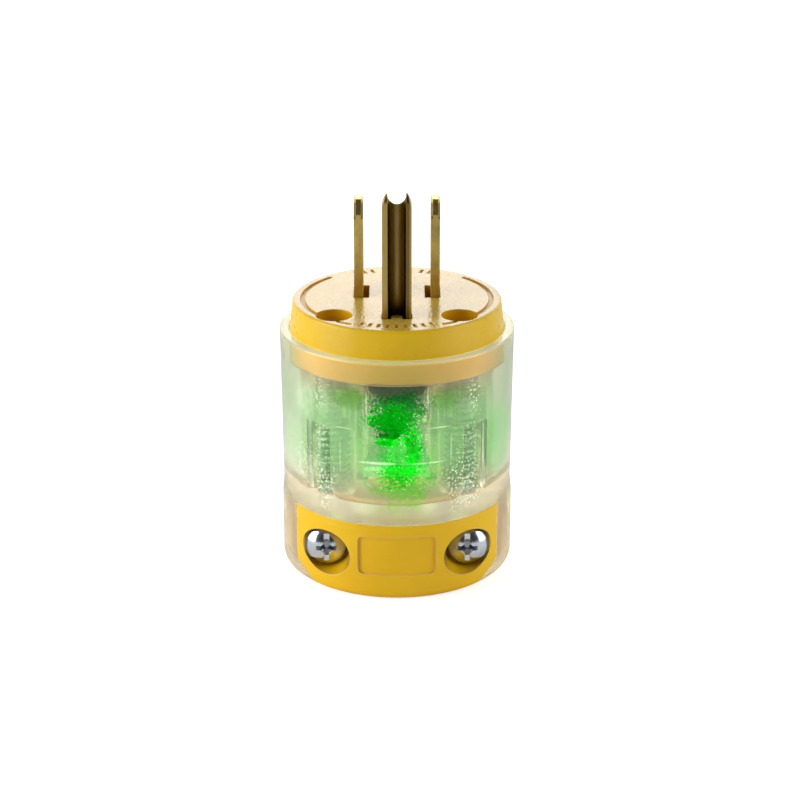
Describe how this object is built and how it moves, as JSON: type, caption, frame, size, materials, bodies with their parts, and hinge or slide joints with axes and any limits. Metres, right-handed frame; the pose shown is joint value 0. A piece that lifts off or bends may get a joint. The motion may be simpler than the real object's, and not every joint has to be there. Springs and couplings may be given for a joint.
{
  "type": "type b plug",
  "caption": "Rewireable type b plug with flat blades, U-shaped ground pin, clear frosted body, yellow face and cord clamp, and a green lamp inside.",
  "frame": {"origin": "middle of the flat foot at the cord end", "axes": "+Z along the blades, -Y towards the ground pin and the cord clamp, -X towards the line blade"},
  "size_m": [0.0392, 0.0392, 0.067],
  "materials": {
    "clear_polycarbonate": "frosted clear plastic",
    "yellow_nylon": "satin moulded plastic",
    "blade_brass": "rolled brass, lightly tarnished",
    "screw_brass": "turned brass",
    "nickel_plate": "nickel plate",
    "green_screw": "green passivated",
    "zinc_steel": "bright zinc plate",
    "board_white": "white circuit board",
    "lamp_green": "tinted clear epoxy",
    "resistor_body": "lacquered",
    "diode_body": "black epoxy"
  },
  "bodies": {
    "root": {"body_shell": "clear_polycarbonate", "face_cover": "yellow_nylon", "cord_clamp": "yellow_nylon", "terminal_block": "clear_polycarbonate", "line_blade": "blade_brass", "neutral_blade": "blade_brass", "ground_pin": "blade_brass", "line_terminal_screw": "screw_brass", "neutral_terminal_screw": "nickel_plate", "ground_terminal_screw": "green_screw", "line_wire_plate": "screw_brass", "neutral_wire_plate": "nickel_plate", "ground_wire_plate": "screw_brass", "assembly_screw_left": "zinc_steel", "assembly_screw_right": "zinc_steel", "clamp_screw_left": "zinc_steel", "clamp_screw_right": "zinc_steel", "clamp_nut_left": "zinc_steel", "clamp_nut_right": "zinc_steel", "led_board": "board_white", "led": "lamp_green", "dropping_resistor": "resistor_body", "rectifier_diode": "diode_body", "line_contact": "screw_brass", "neutral_contact": "screw_brass"}
  },
  "joints": []
}
